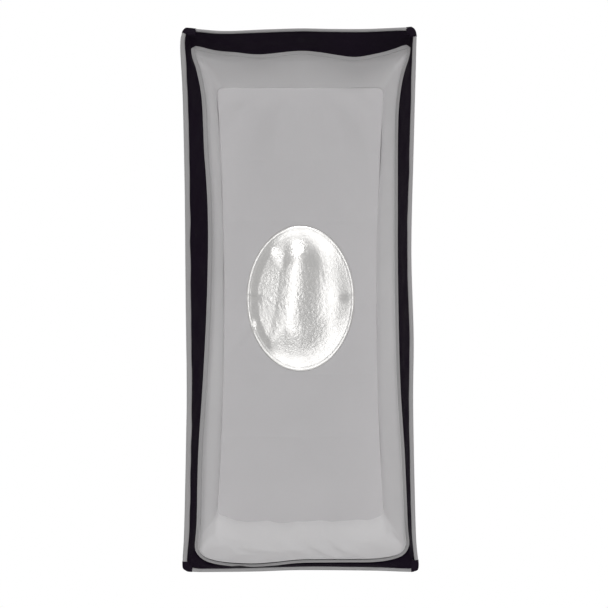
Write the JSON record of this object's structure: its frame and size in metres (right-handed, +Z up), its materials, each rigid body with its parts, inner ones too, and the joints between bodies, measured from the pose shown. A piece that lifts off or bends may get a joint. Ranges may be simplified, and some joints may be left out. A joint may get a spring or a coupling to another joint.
{
  "type": "strip softbox",
  "caption": "Upright strip softbox: black fabric shell on bowed rods, white lining, inner baffle with silver oval mask, rotating speedring with bayonet lamp mount.",
  "frame": {"origin": "centre of the bayonet insert's rear face, where the lamp's front ring rests", "axes": "+Y along the light's axis, back towards the lamp, so the open front faces -Y; +Z up, along the long side of the front; +X to the right seen from the front"},
  "size_m": [0.462, 0.445, 1.059],
  "materials": {
    "shell_fabric": "matte",
    "white_lining": "satin",
    "baffle_fabric": "matte",
    "silver_fabric": "satin",
    "grey_tape": "matte",
    "tab_elastic": "matte",
    "ring_aluminium": "satin",
    "insert_steel": "satin",
    "bright_steel": "satin",
    "fibreglass": "satin",
    "black_plastic": "satin",
    "nylon": "satin"
  },
  "bodies": {
    "insert": {"bayonet_insert": "insert_steel"},
    "softbox": {"speedring": "ring_aluminium", "rod_socket_1": "ring_aluminium", "rod_socket_2": "ring_aluminium", "rod_socket_3": "ring_aluminium", "rod_socket_4": "ring_aluminium", "set_screw_1": "bright_steel", "set_screw_2": "bright_steel", "set_screw_3": "bright_steel", "rod_1": "fibreglass", "rod_2": "fibreglass", "rod_3": "fibreglass", "rod_4": "fibreglass", "rod_tip_1": "black_plastic", "rod_tip_2": "black_plastic", "rod_tip_3": "black_plastic", "rod_tip_4": "black_plastic", "shell_top": "shell_fabric", "shell_bottom": "shell_fabric", "shell_left": "shell_fabric", "shell_right": "shell_fabric", "lining_top": "white_lining", "lining_bottom": "white_lining", "lining_left": "white_lining", "lining_right": "white_lining", "lip_top": "shell_fabric", "lip_bottom": "shell_fabric", "lip_left": "shell_fabric", "lip_right": "shell_fabric", "piping_top": "grey_tape", "piping_bottom": "grey_tape", "piping_left": "grey_tape", "piping_right": "grey_tape", "rim_binding_top": "grey_tape", "rim_binding_bottom": "grey_tape", "rim_binding_left": "grey_tape", "rim_binding_right": "grey_tape", "corner_pocket_1": "shell_fabric", "corner_pocket_2": "shell_fabric", "corner_pocket_3": "shell_fabric", "corner_pocket_4": "shell_fabric"},
    "right_shoe": {"lock_shoe_right": "nylon"},
    "right_knob": {"lock_stud_right": "bright_steel", "lock_knob_right": "black_plastic"},
    "left_shoe": {"lock_shoe_left": "nylon"},
    "left_knob": {"lock_stud_left": "bright_steel", "lock_knob_left": "black_plastic"},
    "baffle": {"inner_baffle": "baffle_fabric", "center_mask": "silver_fabric", "baffle_tab_1": "tab_elastic", "baffle_tab_2": "tab_elastic", "baffle_tab_3": "tab_elastic", "baffle_tab_4": "tab_elastic"},
    "flap_top": {"rear_flap_top": "shell_fabric"},
    "flap_bottom": {"rear_flap_bottom": "shell_fabric"},
    "flap_left": {"rear_flap_left": "shell_fabric"},
    "flap_right": {"rear_flap_right": "shell_fabric"}
  },
  "joints": [
    {"name": "ring_turn", "type": "hinge", "parent": "insert", "child": "softbox", "pos_m": [0, 0, 0], "axis": [0, 1, 0], "continuous": true},
    {"name": "right_shoe_slide", "type": "slide", "parent": "softbox", "child": "right_shoe", "axis": [0.7071, 0, 0.7071], "range_m": [0, 0.001]},
    {"name": "right_knob_turn", "type": "hinge", "parent": "right_shoe", "child": "right_knob", "pos_m": [0.0636, -0.0075, 0.0636], "axis": [0.7071, 0, 0.7071], "range_deg": [0, 360]},
    {"name": "left_shoe_slide", "type": "slide", "parent": "softbox", "child": "left_shoe", "axis": [-0.7071, 0, -0.7071], "range_m": [0, 0.001]},
    {"name": "left_knob_turn", "type": "hinge", "parent": "left_shoe", "child": "left_knob", "pos_m": [-0.0636, -0.0075, -0.0636], "axis": [-0.7071, 0, -0.7071], "range_deg": [0, 360]},
    {"name": "baffle_pull", "type": "slide", "parent": "softbox", "child": "baffle", "axis": [0, -1, 0], "range_m": [0, 0.2]},
    {"name": "flap_top_fold", "type": "hinge", "parent": "softbox", "child": "flap_top", "pos_m": [0, -0.0544, 0.1421], "axis": [1, 0, 0], "range_deg": [0, 110]},
    {"name": "flap_bottom_fold", "type": "hinge", "parent": "softbox", "child": "flap_bottom", "pos_m": [0, -0.0544, -0.1421], "axis": [-1, 0, 0], "range_deg": [0, 110]},
    {"name": "flap_left_fold", "type": "hinge", "parent": "softbox", "child": "flap_left", "pos_m": [-0.0715, -0.0544, 0], "axis": [0, 0, 1], "range_deg": [0, 110]},
    {"name": "flap_right_fold", "type": "hinge", "parent": "softbox", "child": "flap_right", "pos_m": [0.0715, -0.0544, 0], "axis": [0, 0, -1], "range_deg": [0, 110]}
  ],
  "couplings": [
    {"joint": "right_shoe_slide", "follows": "right_knob_turn", "m_per_rad": 0.00015915},
    {"joint": "left_shoe_slide", "follows": "left_knob_turn", "m_per_rad": 0.00015915}
  ]
}
